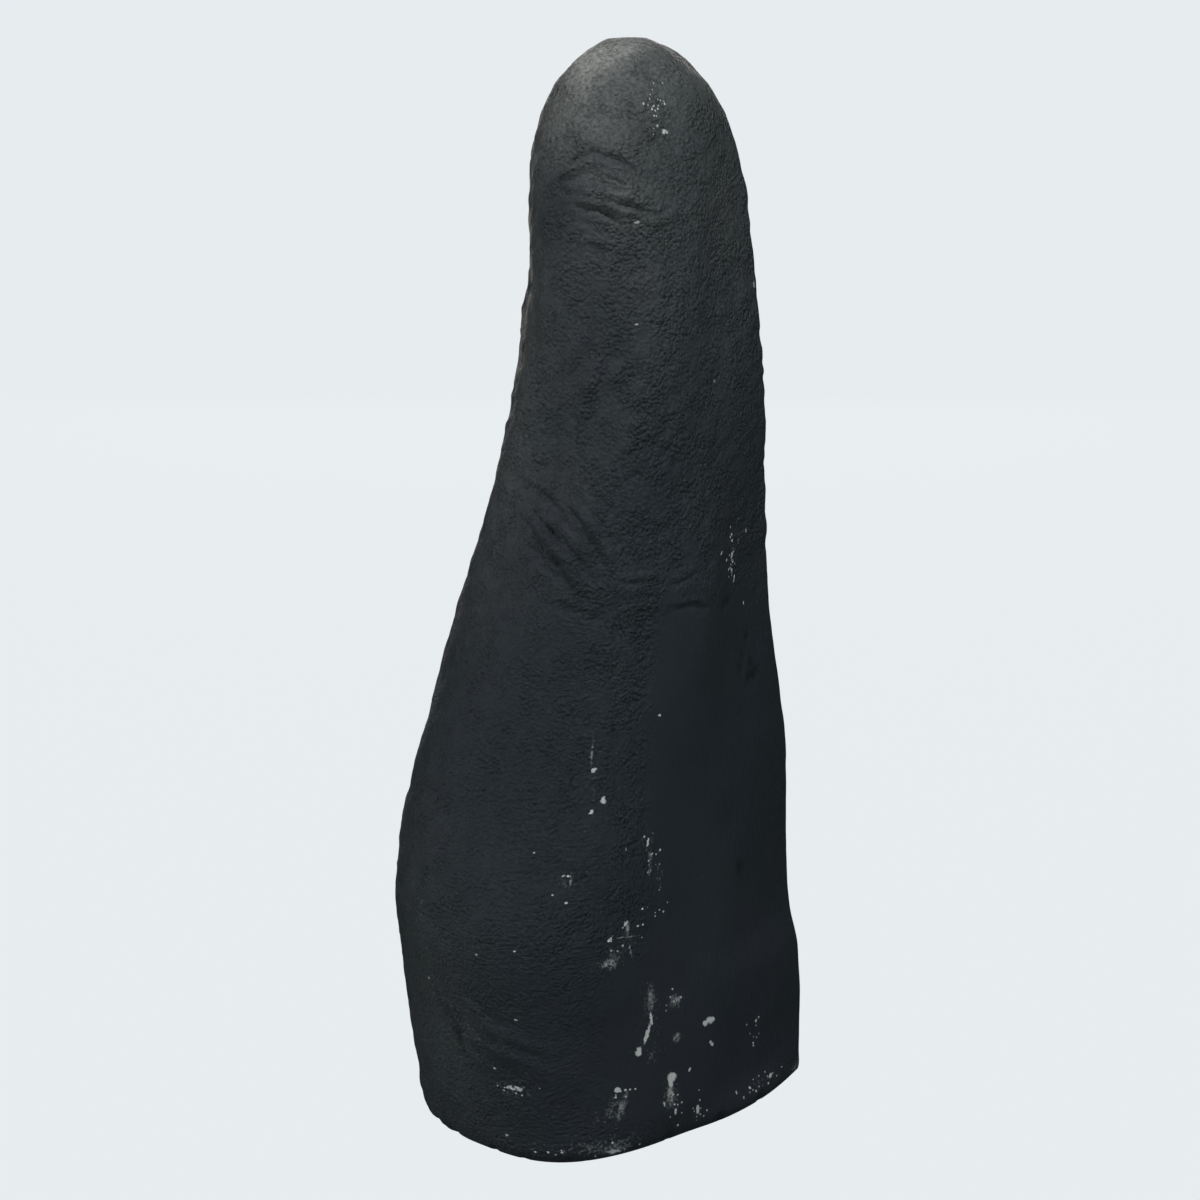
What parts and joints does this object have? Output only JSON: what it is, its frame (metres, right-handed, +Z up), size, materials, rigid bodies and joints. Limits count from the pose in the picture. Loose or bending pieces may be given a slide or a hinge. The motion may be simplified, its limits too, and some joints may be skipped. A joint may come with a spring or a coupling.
{
  "type": "amethyst geode",
  "caption": "Tall free-standing amethyst geode: a narrow rock half-shell sawn open at the front, lined with crystals, its rounded back coated in dark cement.",
  "frame": {"origin": "middle of the bounding box, at the height of the flat foot", "axes": "+Z up from foot to crown; the sawn, crystal-lined front faces -Y and the painted back faces +Y"},
  "size_m": [0.175, 0.1804, 0.52],
  "materials": {
    "painted_coat": "brushed cement coat under matt charcoal paint, with pale chips where the paint is knocked off",
    "sawn_rim": "sawn and polished rock and banded chalcedony",
    "amethyst": "clear purple natural crystal faces"
  },
  "bodies": {
    "root": {"geode_shell": "painted_coat", "amethyst_crystals": "amethyst"}
  },
  "joints": []
}
